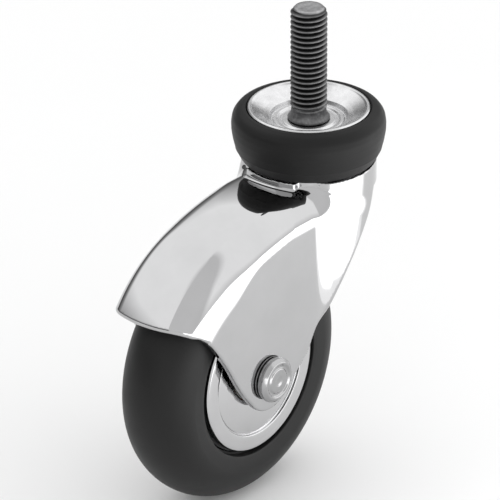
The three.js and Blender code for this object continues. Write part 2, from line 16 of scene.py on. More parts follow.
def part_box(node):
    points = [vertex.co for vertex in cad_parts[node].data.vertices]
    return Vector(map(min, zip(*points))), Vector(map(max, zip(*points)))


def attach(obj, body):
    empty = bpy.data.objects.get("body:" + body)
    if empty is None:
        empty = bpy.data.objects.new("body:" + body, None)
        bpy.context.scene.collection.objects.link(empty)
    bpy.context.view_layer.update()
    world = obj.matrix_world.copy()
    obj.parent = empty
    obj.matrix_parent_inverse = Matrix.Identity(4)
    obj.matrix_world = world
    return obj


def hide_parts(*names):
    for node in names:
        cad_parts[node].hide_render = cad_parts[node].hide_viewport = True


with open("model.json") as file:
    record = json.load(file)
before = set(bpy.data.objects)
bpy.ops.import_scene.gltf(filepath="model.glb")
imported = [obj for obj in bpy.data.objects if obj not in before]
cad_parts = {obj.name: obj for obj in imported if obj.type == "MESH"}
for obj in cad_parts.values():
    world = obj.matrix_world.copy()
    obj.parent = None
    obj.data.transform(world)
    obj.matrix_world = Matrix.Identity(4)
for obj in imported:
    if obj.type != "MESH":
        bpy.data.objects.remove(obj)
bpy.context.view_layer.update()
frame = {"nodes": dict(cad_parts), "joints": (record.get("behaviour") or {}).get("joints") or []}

MM = 0.001

# ---- Places taken from the frame ----------------------------------------------------------------


def joint(name):
    return next(j for j in frame["joints"] if j["name"] == name)


def span(node):
    """Lowest and highest corner of a CAD node, in millimetres."""
    low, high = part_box(node)
    return np.array(low) / MM, np.array(high) / MM


AXLE = np.array(joint("wheel_roll")["pos_m"]) / MM
TYRE_LOW, TYRE_HIGH = span("tyre")
FORK_LOW, FORK_HIGH = span("fork_hood")
STEM_LOW, STEM_HIGH = span("threaded_stem")
CUP_LOW, CUP_HIGH = span("top_raceway_cup")
BUMPER_LOW, BUMPER_HIGH = span("bumper_ring")
DISC_LOW, DISC_HIGH = span("cover_disc_left")
HEAD_LOW, HEAD_HIGH = span("axle_screw")

WHEEL_RADIUS = (TYRE_HIGH[2] - TYRE_LOW[2]) / 2
TYRE_HALF = TYRE_HIGH[1]
NECK_RADIUS = FORK_HIGH[1]
STEM_TOP = STEM_HIGH[2]
STEM_RADIUS = 5.0
CUP_RADIUS = CUP_HIGH[1]
DISC_RADIUS = (DISC_HIGH[2] - DISC_LOW[2]) / 2
DISC_FACE = -DISC_LOW[1]
HEAD_RADIUS = (HEAD_HIGH[2] - HEAD_LOW[2]) / 2
HEAD_FACE = -HEAD_LOW[1]
FLOOR_Z = TYRE_LOW[2]

# ---- Materials ----------------------------------------------------------------------------------


class Nodes:
    """A small helper for building one material's node tree."""

    def __init__(self, name):
        self.material = bpy.data.materials.new(name)
        self.material.use_nodes = True
        self.tree = self.material.node_tree
        self.shader = self.tree.nodes["Principled BSDF"]

    def add(self, kind, **values):
        node = self.tree.nodes.new(kind)
        for key, value in values.items():
            if hasattr(node, key):
                setattr(node, key, value)
            else:
                node.inputs[key.replace("_", " ")].default_value = value
        return node

    def link(self, out, into):
        self.tree.links.new(out, into)

    def place(self, scale=(1, 1, 1)):
        """Object-space position, stretched by scale."""
        coords = self.add("ShaderNodeTexCoord")
        mapping = self.add("ShaderNodeMapping")
        mapping.inputs["Scale"].default_value = scale
        self.link(coords.outputs["Object"], mapping.inputs["Vector"])
        return mapping.outputs["Vector"]

    def noise(self, vector, scale, detail=4.0, rough=0.55, distortion=0.0):
        node = self.add("ShaderNodeTexNoise")
        node.inputs["Scale"].default_value = scale
        node.inputs["Detail"].default_value = detail
        node.inputs["Roughness"].default_value = rough
        node.inputs["Distortion"].default_value = distortion
        self.link(vector, node.inputs["Vector"])
        return node.outputs["Fac"]

    def remap(self, value, low, high, out_low, out_high):
        node = self.add("ShaderNodeMapRange")
        for key, number in zip(("From Min", "From Max", "To Min", "To Max"), (low, high, out_low, out_high)):
            node.inputs[key].default_value = number
        self.link(value, node.inputs["Value"])
        return node.outputs["Result"]

    def ramp(self, value, *stops):
        node = self.add("ShaderNodeValToRGB")
        elements = node.color_ramp.elements
        while len(elements) < len(stops):
            elements.new(0.5)
        for element, (position, colour) in zip(elements, stops):
            element.position = position
            element.color = (*colour, 1.0)
        self.link(value, node.inputs["Fac"])
        return node.outputs["Color"]

    def bump(self, *layers):
        """Bump from (height, strength, distance in mm) layers, one on top of another."""
        below = None
        for height, strength, distance in layers:
            node = self.add("ShaderNodeBump")
            node.inputs["Strength"].default_value = strength
            node.inputs["Distance"].default_value = distance * MM
            self.link(height, node.inputs["Height"])
            if below:
                self.link(below, node.inputs["Normal"])
            below = node.outputs["Normal"]
        self.link(below, self.shader.inputs["Normal"])

    def set(self, **values):
        for key, value in values.items():
            self.shader.inputs[key.replace("_", " ")].default_value = value


def grey(value):
    return (value, value, value * 1.01)


def chrome(name, tone=0.5, rough=0.035, ripple=0.02):
    """Mirror plate: faint orange-peel ripple, a breath of haze and a few hairline wipes."""
    m = Nodes(name)
    m.set(Metallic=1.0)
    broad = m.noise(m.place(), 90.0, 3.0)
    m.link(m.ramp(broad, (0.3, grey(tone * 0.97)), (0.7, grey(tone * 1.03))), m.shader.inputs["Base Color"])
    wipes = m.noise(m.place((1.0, 1.0, 14.0)), 260.0, 6.0, 0.7)
    m.link(m.remap(wipes, 0.35, 0.75, rough * 0.7, rough * 1.8), m.shader.inputs["Roughness"])
    peel = m.noise(m.place(), 330.0, 2.0, 0.4)
    m.bump((peel, ripple, 0.05))
    return m.material


def satin_zinc(name, tone=0.62, rough=0.24):
    """Zinc plate over pressed steel: grain turned round the axis, mottled plating."""
    m = Nodes(name)
    m.set(Metallic=1.0)
    mottle = m.noise(m.place(), 420.0, 6.0, 0.65)
    m.link(m.ramp(mottle, (0.25, grey(tone * 0.84)), (0.6, grey(tone)), (0.85, grey(tone * 1.12))),
           m.shader.inputs["Base Color"])
    fine = m.noise(m.place(), 2600.0, 5.0, 0.7)
    m.link(m.remap(fine, 0.3, 0.7, rough * 0.75, rough * 1.35), m.shader.inputs["Roughness"])
    m.bump((fine, 0.12, 0.04), (mottle, 0.05, 0.1))
    return m.material


def dull_steel(name, tone=0.16, rough=0.42):
    """Dark phosphated steel with brighter worn patches."""
    m = Nodes(name)
    m.set(Metallic=1.0)
    blotch = m.noise(m.place(), 520.0, 6.0, 0.7)
    m.link(m.ramp(blotch, (0.3, grey(tone * 0.6)), (0.55, grey(tone)), (0.8, grey(tone * 1.9))),
           m.shader.inputs["Base Color"])
    grain = m.noise(m.place(), 3000.0, 4.0, 0.7)
    m.link(m.remap(grain, 0.3, 0.7, rough * 0.8, rough * 1.25), m.shader.inputs["Roughness"])
    m.bump((grain, 0.18, 0.05), (blotch, 0.1, 0.1))
    return m.material


def thread_steel(name, tone=0.13, rough=0.4):
    """Dark steel screw: painted highlight on the thread crests, painted shade in the thread roots, random darker soil
    blotches and a bright cut end.
    """
    m = Nodes(name)
    m.set(Metallic=1.0)
    split = m.add("ShaderNodeSeparateXYZ")
    m.link(m.place(), split.inputs["Vector"])
    flat = m.add("ShaderNodeCombineXYZ")
    m.link(split.outputs["X"], flat.inputs["X"])
    m.link(split.outputs["Y"], flat.inputs["Y"])
    reach = m.add("ShaderNodeVectorMath", operation="LENGTH")
    m.link(flat.outputs["Vector"], reach.inputs[0])
    # painted highlight on the thread crests and painted shade in the roots, set by distance from the screw's axis
    crest_highlight_mask = m.remap(reach.outputs["Value"], 4.25 * MM, 4.95 * MM, 0.0, 1.0)
    threaded = m.remap(split.outputs["Z"], 0.2 * MM, 1.6 * MM, 0.0, 1.0)
    cut_end = m.remap(split.outputs["Z"], (STEM_TOP - 0.5) * MM, (STEM_TOP - 0.15) * MM, 0.0, 1.0)
    # colours of the painted crest highlight and the painted root shade
    crest_highlight_root_shade = m.ramp(crest_highlight_mask, (0.0, grey(tone * 0.12)), (0.55, grey(tone * 0.6)), (1.0, grey(tone * 1.8)))
    blotch = m.noise(m.place(), 620.0, 6.0, 0.7)
    shank = m.ramp(blotch, (0.3, grey(tone * 0.8)), (0.55, grey(tone * 1.3)), (0.8, grey(tone * 2.2)))
    end = m.ramp(blotch, (0.3, grey(tone * 2.2)), (0.7, grey(tone * 3.6)))
    colour = shank
    for factor, over in ((threaded, crest_highlight_root_shade), (cut_end, end)):
        mix = m.add("ShaderNodeMix", data_type="RGBA")
        m.link(factor, mix.inputs["Factor"])
        m.link(colour, mix.inputs["A"])
        m.link(over, mix.inputs["B"])
        colour = mix.outputs["Result"]
    soil = m.add("ShaderNodeMix", data_type="RGBA", blend_type="MULTIPLY")
    soil.inputs["Factor"].default_value = 0.5
    m.link(colour, soil.inputs["A"])
    m.link(m.ramp(blotch, (0.3, grey(0.6)), (0.7, grey(1.0))), soil.inputs["B"])
    m.link(soil.outputs["Result"], m.shader.inputs["Base Color"])
    grain = m.noise(m.place(), 3000.0, 4.0, 0.7)
    m.link(m.remap(grain, 0.3, 0.7, rough * 0.8, rough * 1.25), m.shader.inputs["Roughness"])
    m.bump((grain, 0.2, 0.05), (blotch, 0.15, 0.1))
    return m.material


def ground_steel(name, tone=0.6, rough=0.2):
    """Hardened bearing steel: bright, with fine grinding marks and a film of grease."""
    m = Nodes(name)
    m.set(Metallic=1.0, Coat_Weight=0.25, Coat_Roughness=0.15)
    marks = m.noise(m.place((1.0, 1.0, 30.0)), 700.0, 5.0, 0.7)
    m.link(m.ramp(marks, (0.3, grey(tone * 0.85)), (0.7, grey(tone * 1.08))), m.shader.inputs["Base Color"])
    m.link(m.remap(marks, 0.3, 0.7, rough * 0.7, rough * 1.4), m.shader.inputs["Roughness"])
    m.bump((marks, 0.08, 0.03))
    return m.material


def rubber(name, tone, rough, grain=0.35, sheen=0.02, gloss=0.28):
    """Moulded rubber: pebbled skin, cloudy bloom and scattered dust specks."""
    m = Nodes(name)
    m.set(Specular_IOR_Level=gloss, Sheen_Weight=sheen, Sheen_Roughness=0.5)
    bloom = m.noise(m.place(), 70.0, 5.0, 0.6, 0.4)
    pebble = m.noise(m.place(), 2400.0, 4.0, 0.6)
    speck = m.noise(m.place(), 5200.0, 2.0, 0.5)
    clouds = m.ramp(bloom, (0.3, grey(tone * 0.82)), (0.7, grey(tone * 1.2)))
    specks = m.ramp(speck, (0.66, grey(0.0)), (0.8, grey(tone * 0.7)))
    mix = m.add("ShaderNodeMix", data_type="RGBA", blend_type="ADD")
    mix.inputs["Factor"].default_value = 1.0
    m.link(clouds, mix.inputs["A"])
    m.link(specks, mix.inputs["B"])
    m.link(mix.outputs["Result"], m.shader.inputs["Base Color"])
    m.link(m.remap(bloom, 0.3, 0.7, rough * 0.88, rough * 1.12), m.shader.inputs["Roughness"])
    m.bump((pebble, grain, 0.05), (bloom, 0.08, 0.2))
    return m.material


def plastic(name, tone, rough, tint=(1.0, 1.0, 1.0)):
    """Moulded nylon: faint flow clouding and a fine spark-eroded skin."""
    m = Nodes(name)
    m.set(Specular_IOR_Level=0.5, Subsurface_Weight=0.04, Subsurface_Scale=0.002)
    flow = m.noise(m.place((1.0, 0.4, 1.0)), 120.0, 4.0, 0.6, 0.8)
    skin = m.noise(m.place(), 2800.0, 3.0, 0.6)
    low = tuple(tone * 0.9 * t for t in tint)
    high = tuple(tone * 1.08 * t for t in tint)
    m.link(m.ramp(flow, (0.3, low), (0.7, high)), m.shader.inputs["Base Color"])
    m.link(m.remap(skin, 0.3, 0.7, rough * 0.85, rough * 1.15), m.shader.inputs["Roughness"])
    m.bump((skin, 0.2, 0.04))
    return m.material


LOOKS = {
    "fork": chrome("chrome_fork_look", 0.465),
    "disc": chrome("chrome_disc_look", 0.55, 0.07, 0.03),
    "axle": chrome("chrome_axle_look", 0.37, 0.14, 0.05),
    "cup": satin_zinc("zinc_cup_look"),
    "hardware": satin_zinc("zinc_hardware_look", 0.55, 0.34),
    "stem": thread_steel("stem_look"),
    "washer": dull_steel("dark_washer_look", 0.3, 0.3),
    "race": ground_steel("race_look"),
    "ball": ground_steel("ball_look", 0.72, 0.1),
    "bumper": rubber("bumper_look", 0.008, 0.5, sheen=0.01, gloss=0.2),
    "tyre": rubber("tyre_look", 0.007, 0.5, 0.25, 0.01),
    "core": plastic("core_look", 0.03, 0.55),
    "nylon": plastic("nylon_look", 0.72, 0.45, (1.0, 0.99, 0.93)),
}

# ---- Mesh building ------------------------------------------------------------------------------


def piece(name, verts, faces, look, body, replaced, smooth=True, normals=None):
    """A new object from millimetre vertices, which rides on a body and stands for CAD nodes."""
    mesh = bpy.data.meshes.new(name)
    mesh.from_pydata([tuple(v) for v in np.asarray(verts, float) * MM], [], [tuple(f) for f in faces])
    mesh.update()
    mesh.polygons.foreach_set("use_smooth", [smooth] * len(mesh.polygons))
    if normals is not None:
        mesh.normals_split_custom_set_from_vertices([tuple(n) for n in normals])
    obj = bpy.data.objects.new(name, mesh)
    bpy.context.collection.objects.link(obj)
    mesh.materials.append(LOOKS[look])
    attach(obj, body)
    if replaced:
        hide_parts(*replaced)
    return obj


def rounded(corners, steps=5):
    """A closed outline from (r, h, radius) corners: each corner becomes an arc of that radius."""
    points = []
    count = len(corners)
    for i, (r, h, radius) in enumerate(corners):
        here = np.array([r, h], float)
        before = np.array(corners[i - 1][:2], float) - here
        after = np.array(corners[(i + 1) % count][:2], float) - here
        a, b = np.linalg.norm(before), np.linalg.norm(after)
        if radius <= 0 or a < 1e-9 or b < 1e-9:
            points.append(here)
            continue
        before, after = before / a, after / b
        angle = math.acos(max(-1.0, min(1.0, float(before @ after))))
        if angle > math.pi - 0.02:
            points.append(here)
            continue
        reach = min(radius / math.tan(angle / 2), 0.49 * a, 0.49 * b)
        start, end = here + before * reach, here + after * reach
        for k in range(steps + 1):
            t = k / steps
            points.append((1 - t) ** 2 * start + 2 * t * (1 - t) * here + t * t * end)
    return np.array(points)


def turned(outline, segments, axle=False):
    """Vertices and faces of an outline turned about Z, or about the axle."""
    count = len(outline)
    angles = np.linspace(0, 2 * math.pi, segments, endpoint=False)
    verts = []
    for angle in angles:
        c, s = math.cos(angle), math.sin(angle)
        for r, h in outline:
            if axle:
                verts.append((AXLE[0] + r * c, h, AXLE[2] + r * s))
            else:
                verts.append((r * c, r * s, h))
    faces = []
    for i in range(segments):
        j = (i + 1) % segments
        for k in range(count):
            n = (k + 1) % count
            faces.append((i * count + k, i * count + n, j * count + n, j * count + k))
    return np.array(verts), faces


def lathe(name, corners, look, body, replaced, segments=160, axle=False, steps=5, sharp=40):
    """A turned piece with rounded corners. Points on the axis are merged into one."""
    verts, faces = turned(rounded(corners, steps), segments, axle)
    obj = piece(name, verts, faces, look, body, replaced)
    mesh = obj.data
    bm = bmesh.new()
    bm.from_mesh(mesh)
    bmesh.ops.remove_doubles(bm, verts=bm.verts, dist=1e-7)
    bmesh.ops.dissolve_degenerate(bm, edges=bm.edges, dist=1e-8)
    bmesh.ops.recalc_face_normals(bm, faces=bm.faces)
    limit = math.radians(sharp)
    for edge in bm.edges:
        edge.smooth = edge.calc_face_angle(0.0) < limit
    bm.to_mesh(mesh)
    bm.free()
    return obj


# ---- Stem, cup and bumper -----------------------------------------------------------------------

PITCH = 1.5
ROOT = 4.1
THREAD_BOTTOM = -0.6
COLLAR_BASE = -3.4


def thread_radius(turn, height):
    """Radius of the screw surface at a fraction of a turn and a height."""
    phase = ((height - THREAD_BOTTOM) / PITCH - turn) % 1.0
    ridge = 1.0 - abs(phase - 0.5) * 2.0
    shape = min(1.0, max(0.0, (ridge - 0.1) / 0.78))
    radius = ROOT + (STEM_RADIUS - ROOT) * shape
    runout = min(1.0, max(0.0, (height - THREAD_BOTTOM) / 1.2))
    radius = 4.75 + (radius - 4.75) * runout
    chamfer = STEM_RADIUS - max(0.0, height - (STEM_TOP - 1.1)) * 1.0
    return min(radius, chamfer)


def threaded_stem():
    segments = 72
    step = PITCH / 14
    rows = [(COLLAR_BASE, 5.45), (COLLAR_BASE, 5.7), (COLLAR_BASE + 0.12, 5.78), (COLLAR_BASE + 0.4, 5.74),
            (COLLAR_BASE + 0.75, 5.45), (COLLAR_BASE + 1.2, 5.1), (COLLAR_BASE + 1.8, 4.86), (COLLAR_BASE + 2.4, 4.78)]
    verts, faces = [], []
    heights = list(np.arange(THREAD_BOTTOM, STEM_TOP - 0.001, step)) + [STEM_TOP]
    profile = [(z, r, False) for z, r in rows] + [(z, 0.0, True) for z in heights]
    for z, r, threaded in profile:
        for i in range(segments):
            turn = i / segments
            radius = thread_radius(turn, z) if threaded else r
            angle = 2 * math.pi * turn
            verts.append((radius * math.cos(angle), radius * math.sin(angle), z))
    for j in range(len(profile) - 1):
        for i in range(segments):
            n = (i + 1) % segments
            faces.append((j * segments + i, j * segments + n, (j + 1) * segments + n, (j + 1) * segments + i))
    last = (len(profile) - 1) * segments
    dimple = len(verts)
    for radius, drop in ((3.2, 0.0), (2.6, 0.06)):
        for i in range(segments):
            angle = 2 * math.pi * i / segments
            verts.append((radius * math.cos(angle), radius * math.sin(angle), STEM_TOP - drop))
    verts.append((0.0, 0.0, STEM_TOP - 0.08))
    for a, b in ((last, dimple), (dimple, dimple + segments)):
        for i in range(segments):
            n = (i + 1) % segments
            faces.append((a + i, a + n, b + n, b + i))
    centre = len(verts) - 1
    for i in range(segments):
        faces.append((dimple + segments + i, dimple + segments + (i + 1) % segments, centre))
    # the pin below the collar
    base = len(verts)
    pin = [(4.0, COLLAR_BASE), (4.0, STEM_LOW[2] + 0.7), (3.4, STEM_LOW[2])]
    for r, z in pin:
        for i in range(segments):
            angle = 2 * math.pi * i / segments
            verts.append((r * math.cos(angle), r * math.sin(angle), z))
    for i in range(segments):
        n = (i + 1) % segments
        faces.append((base + i, base + n, n, i))
        for k in range(len(pin) - 1):
            a, b = base + k * segments, base + (k + 1) * segments
            faces.append((b + i, b + n, a + n, a + i))
    end = len(verts)
    verts.append((0.0, 0.0, STEM_LOW[2]))
    low = base + (len(pin) - 1) * segments
    for i in range(segments):
        faces.append((end, low + (i + 1) % segments, low + i))
    obj = piece("stem_screw", verts, faces, "stem", "stem", ["threaded_stem"])
    bm = bmesh.new()
    bm.from_mesh(obj.data)
    bmesh.ops.recalc_face_normals(bm, faces=bm.faces)
    for edge in bm.edges:
        edge.smooth = edge.calc_face_angle(0.0) < math.radians(50)
    bm.to_mesh(obj.data)
    bm.free()
    return obj


def raceway_cup():
    """Pressed cup: a flat seating land, a dished cone and a recess with two pressed rings."""
    r = CUP_RADIUS
    floor = COLLAR_BASE - 0.3
    corners = [
        (4.3, floor, 0.1), (7.2, floor, 0.3), (7.6, floor - 0.5, 0.2), (8.25, floor - 0.5, 0.2),
        (8.65, floor + 0.1, 0.25), (9.5, floor + 0.1, 0.25), (9.85, floor - 0.35, 0.15),
        (10.25, floor - 0.35, 0.15), (10.7, -2.75, 0.35), (12.2, -2.2, 2.0), (15.4, -0.45, 1.2),
        (r - 0.95, -0.02, 0.35), (r - 0.35, 0.0, 0.25), (r, -0.35, 0.25), (r, CUP_LOW[2], 0.2),
        (r - 1.5, CUP_LOW[2], 0.2), (r - 1.5, -6.5, 0.2), (14.45, -6.5, 0.2), (13.8, -4.9, 1.0),
        (12.2, -4.25, 1.2), (10.6, -4.9, 0.6), (10.0, -5.2, 0.3), (4.3, -5.2, 0.1),
    ]
    return lathe("cup_dish", corners, "cup", "stem", ["top_raceway_cup"], 200)


def bumper():
    """Rubber ring: rolled top lip, full belly, a faint parting ridge and a tapered skirt."""
    inner = CUP_RADIUS + 0.25
    low = BUMPER_LOW[2]
    corners = [
        (inner, low + 0.5, 0.2), (inner + 0.5, low, 0.3), (18.25, low, 0.3), (18.75, low + 0.75, 0.4),
        (19.85, -11.75, 0.4), (19.98, -11.5, 0.15), (20.02, -11.2, 0.15), (20.55, -9.0, 3.0),
        (20.95, -6.6, 4.0), (21.0, -4.6, 4.0), (20.7, -2.6, 3.0), (19.5, -0.95, 3.0), (18.0, -0.25, 2.0),
        (17.25, -0.12, 0.4), (inner, -0.55, 0.3),
    ]
    return lathe("bumper_cover", corners, "bumper", "stem", ["bumper_ring"], 200, steps=8)


# ---- Wheel --------------------------------------------------------------------------------------


def tyre():
    steps = 44
    crown = []
    for i in range(steps + 1):
        turn = -math.pi / 2 + math.pi * i / steps
        crown.append((WHEEL_RADIUS - 10.0 * (1 - math.cos(turn)), TYRE_HALF * math.sin(turn), 0))
    mouth = 23.4
    side = [(mouth + 1.3, TYRE_HALF - 0.32, 1.0), (mouth + 0.1, TYRE_HALF - 0.5, 0.35), (mouth, TYRE_HALF - 1.2, 0.3),
            (mouth, 8.6, 0.1), (22.8, 8.6, 0.1)]
    near = [(r, -h, c) for r, h, c in reversed(side)]
    return lathe("tyre_tread", near + crown + side, "tyre", "wheel", ["tyre"], 220, True)


def disc(side, node):
    """Pressed bright disc: a low dome, a fine pressed groove and a rolled flat rim."""
    s = -1 if side == "left" else 1
    f = DISC_FACE
    r = DISC_RADIUS
    corners = [
        (7.0, f, 0.1), (9.0, f + 0.04, 2.0), (11.5, f - 0.03, 3.0), (14.0, f - 0.2, 3.0), (16.0, f - 0.45, 2.0),
        (16.95, f - 0.6, 0.3), (17.2, f - 0.85, 0.15), (17.45, f - 0.85, 0.15), (17.65, f - 0.1, 0.2), (18.4, f, 0.5),
        (20.9, f, 1.0), (r - 0.3, f - 0.12, 0.3), (r, f - 0.7, 0.35), (r, f - 2.2, 0.1), (r - 0.7, f - 2.2, 0.1),
        (r - 0.75, f - 0.9, 0.3), (18.7, f - 0.9, 0.8), (17.0, f - 2.0, 0.8), (14.5, f - 2.0, 2.0), (7.0, f - 1.3, 0.1),
    ]
    corners = [(a, s * h, c) for a, h, c in corners]
    return lathe(f"disc_{side}", corners, "disc", "wheel", [node], 200, True)


def axle_head(side, node):
    """Round axle head: rolled shoulder, flat land, shallow ring groove and a centre dimple."""
    s = -1 if side == "left" else 1
    f = HEAD_FACE
    r = HEAD_RADIUS
    corners = [
        (0, f - 0.32, 0), (0.9, f - 0.22, 0.5), (1.7, f - 0.05, 0.3), (3.3, f - 0.1, 0.4), (3.7, f - 0.42, 0.2),
        (4.3, f - 0.42, 0.2), (4.75, f - 0.02, 0.3), (5.3, f, 0.3), (r, f - 0.9, 0.55), (r, 16.05, 0.15),
        (4.2, 16.05, 0.1), (4.2, 14.8 if side == "right" else 15.6, 0.1),
        (3.0, 14.8 if side == "right" else 15.6, 0.1), (3.0, -13.0, 0.1), (0, -13.0, 0),
    ]
    corners = [(a, s * h, c) for a, h, c in corners]
    return lathe(f"axle_head_{side}", corners, "axle", "fork", [node], 120, True)


def axle_washer(side, node):
    s = -1 if side == "left" else 1
    low, high = span(node)
    inner, outer = sorted((abs(low[1]), abs(high[1])))
    r = HEAD_RADIUS - 0.2
    corners = [(4.5, inner, 0.1), (4.5, outer, 0.1), (r - 0.1, outer, 0.2), (r, inner, 0.1)]
    corners = [(a, s * h, c) for a, h, c in corners]
    return lathe(f"washer_{side}", corners, "washer", "fork", [node], 96, True)


# ---- Fork: a smooth implicit surface ------------------------------------------------------------

HALF_WIDTH = 15.0
LEG_INNER = 12.8
CROWN_RADIUS = 44.4
SHOULDER_DEEP = 12.0  # how far the rounded shoulder reaches down the side
SHOULDER_WIDE = 6.8  # and how far it reaches across the crown
NECK_TOP = -14.95
RING_BOTTOM = -22.0
CROWN_BOW = 62.0  # radius of the slight camber across the crown
LIP_ANGLE = 35.2  # where the crown ends at mid-width
LIP_BOW = 3.2  # further round at the sides, in degrees
NECK_SHOULDER = 7.5  # the shoulder is rounder and tighter where it meets the neck
FLARE = 4.0  # extra fillet radius where the sides of the hood run into the neck
NOTCH = 1.7  # depth of the relief in the neck beside each shoulder


def fillet_union(a, b, r):
    u = np.maximum(r - a, 0)
    v = np.maximum(r - b, 0)
    return np.maximum(r, np.minimum(a, b)) - np.hypot(u, v)


def round_cut(a, b, r):
    """Intersection of two solids with an edge radius r."""
    u = np.maximum(r + a, 0)
    v = np.maximum(r + b, 0)
    return np.minimum(-r, np.maximum(a, b)) + np.hypot(u, v)


def oval_cut(a, b, deep, wide):
    """Intersection of two solids whose shared edge is a quarter ellipse."""
    u = np.maximum(a / deep + 1, 0)
    v = np.maximum(b / wide + 1, 0)
    size = np.maximum(np.hypot(u, v), 1e-6)
    slope = np.maximum(np.hypot(u / deep, v / wide) / size, 1e-6)
    return np.where(np.maximum(u, v) > 0, (size - 1) / slope, np.maximum(a, b))


def eased(value, start, end):
    t = np.clip((value - start) / (end - start), 0, 1)
    return t * t * (3 - 2 * t)


def smooth_path(points, rounds=3):
    """Chaikin corner cutting of a closed outline."""
    p = np.array(points, float)
    for _ in range(rounds):
        q = np.roll(p, -1, axis=0)
        p = np.stack([0.75 * p + 0.25 * q, 0.25 * p + 0.75 * q], 1).reshape(-1, 2)
    return p


def outline_distance(x, z, outline):
    """Signed distance in the XZ plane to a closed outline, negative inside."""
    best = np.full(x.shape, 1e9)
    inside = np.zeros(x.shape, bool)
    count = len(outline)
    for i in range(count):
        ax, az = outline[i]
        bx, bz = outline[(i + 1) % count]
        ex, ez = bx - ax, bz - az
        t = np.clip(((x - ax) * ex + (z - az) * ez) / (ex * ex + ez * ez + 1e-12), 0, 1)
        best = np.minimum(best, (x - ax - t * ex) ** 2 + (z - az - t * ez) ** 2)
        if az != bz:
            crossing = (az > z) != (bz > z)
            inside ^= crossing & (x < (z - az) * ex / (bz - az) + ax)
    best = np.sqrt(best)
    return np.where(inside, -best, best)


def around_axle(radius, degrees):
    angle = math.radians(degrees)
    return (AXLE[0] - radius * math.cos(angle), AXLE[2] + radius * math.sin(angle))


def rear_edge(z):
    return 7.2 + (z - RING_BOTTOM) * 0.645


def side_outline():
    ax, az = AXLE[0], AXLE[2]
    boss = [(ax + 9.5 * math.cos(math.radians(a)), az + 9.5 * math.sin(math.radians(a))) for a in range(214, 330, 12)]
    lip = around_axle(CROWN_RADIUS + 8, LIP_ANGLE - 3)
    top = 6.0
    outline = [
        (lip[0] - 4, top), lip, around_axle(41.0, LIP_ANGLE - 3), around_axle(37.5, LIP_ANGLE + LIP_BOW),
        around_axle(34.0, LIP_ANGLE + LIP_BOW), (ax - 24.3, az + 18.9), (ax - 20.5, az + 13.8), (ax - 17.2, az + 8.9),
        (ax - 14.6, az + 4.2), (ax - 11.2, az - 1.2), *boss, (ax + 15.4, az + 0.6), (ax + 17.2, az + 2.8),
        (rear_edge(-58.8), -58.8), (rear_edge(-45.0), -45.0), (rear_edge(RING_BOTTOM), RING_BOTTOM),
        (rear_edge(0.0), top),
    ]
    return smooth_path(outline, 3)


SIDE_OUTLINE = side_outline()


def crown_distance(x, z):
    """How far a point lies above the crown line: an arc about the axle that climbs to the neck."""
    dx, dz = x - AXLE[0], z - AXLE[2]
    rho = np.hypot(dx, dz)
    degrees = np.degrees(np.arctan2(dz, -dx))
    degrees = np.where(degrees < -90, degrees + 360, degrees)
    past = np.clip(degrees - 74, 0, 60)
    arc = rho - (CROWN_RADIUS + 0.0047 * past * past)
    ceiling = z - -16.6
    return np.where(degrees > 90, round_cut(np.where(degrees > 150, -60, arc), ceiling, 1.7), arc)


def fork_field(p):
    x, y, z = p[:, 0], p[:, 1], p[:, 2]
    ay = np.abs(y)
    dx, dz = x - AXLE[0], z - AXLE[2]
    rho = np.hypot(dx, dz)
    radial = np.hypot(x, y)
    crown = crown_distance(x, z)
    degrees = np.degrees(np.arctan2(dz, -dx))
    tight = eased(degrees, 60.0, 85.0)
    deep = SHOULDER_DEEP + (NECK_SHOULDER - SHOULDER_DEEP) * tight
    wide = SHOULDER_WIDE + (NECK_SHOULDER - SHOULDER_WIDE) * tight
    camber = ay ** 2 / (2 * CROWN_BOW)
    hood = oval_cut(crown + camber, ay - HALF_WIDTH, deep, wide)
    lip_here = LIP_ANGLE + LIP_BOW * (np.minimum(ay, HALF_WIDTH) / HALF_WIDTH) ** 2.2
    past_lip = np.where(np.abs(degrees) < 90, np.radians(lip_here - degrees) * rho, -9.0)
    past_lip = np.where(rho > 33, past_lip, -9.0)
    hood = round_cut(hood, past_lip, 1.1)
    hood = round_cut(hood, outline_distance(x, z, SIDE_OUTLINE), 0.7)
    lean = (x - rear_edge(z)) / math.hypot(1, 0.645)
    bearing = np.degrees(np.arctan2(ay, -x))
    notch = eased(bearing, 25.5, 30.0) * (1 - eased(bearing, 42.0, 58.0))
    wall = np.maximum(radial - NECK_RADIUS + NOTCH * notch, z - NECK_TOP)
    cheeks = round_cut(wall, np.maximum(lean, -60 - z), 0.9)
    ring = round_cut(wall, RING_BOTTOM - z, 0.9)
    hub = np.maximum(np.maximum(radial - 14.5, -26.0 - z), z - NECK_TOP)
    neck = np.minimum(cheeks, ring)
    body = fillet_union(hood, neck, 1.3 + FLARE * eased(ay, 7.0, 15.5))
    body = fillet_union(body, hub, 0.8)
    top = round_cut(body, z - NECK_TOP, 0.35)
    boss = np.maximum(np.maximum(radial - 15.0, z - -10.7), NECK_TOP - 2 - z)
    body = np.minimum(top, boss)
    room = oval_cut(rho - (CROWN_RADIUS - 2.6), ay - LEG_INNER, SHOULDER_DEEP - 2.1, SHOULDER_WIDE - 2.1)
    under = np.maximum(radial - (NECK_RADIUS - 2.5), z - -26.0)
    pocket = np.maximum(radial - 11.5, z - -19.3)
    bore = radial - 5.0
    hole = rho - 4.5
    room = fillet_union(room, under, 1.0)
    for cut, edge in ((room, 0.55), (pocket, 0.3), (bore, 0.3), (hole, 0.3)):
        body = round_cut(body, -cut, edge)
    return body


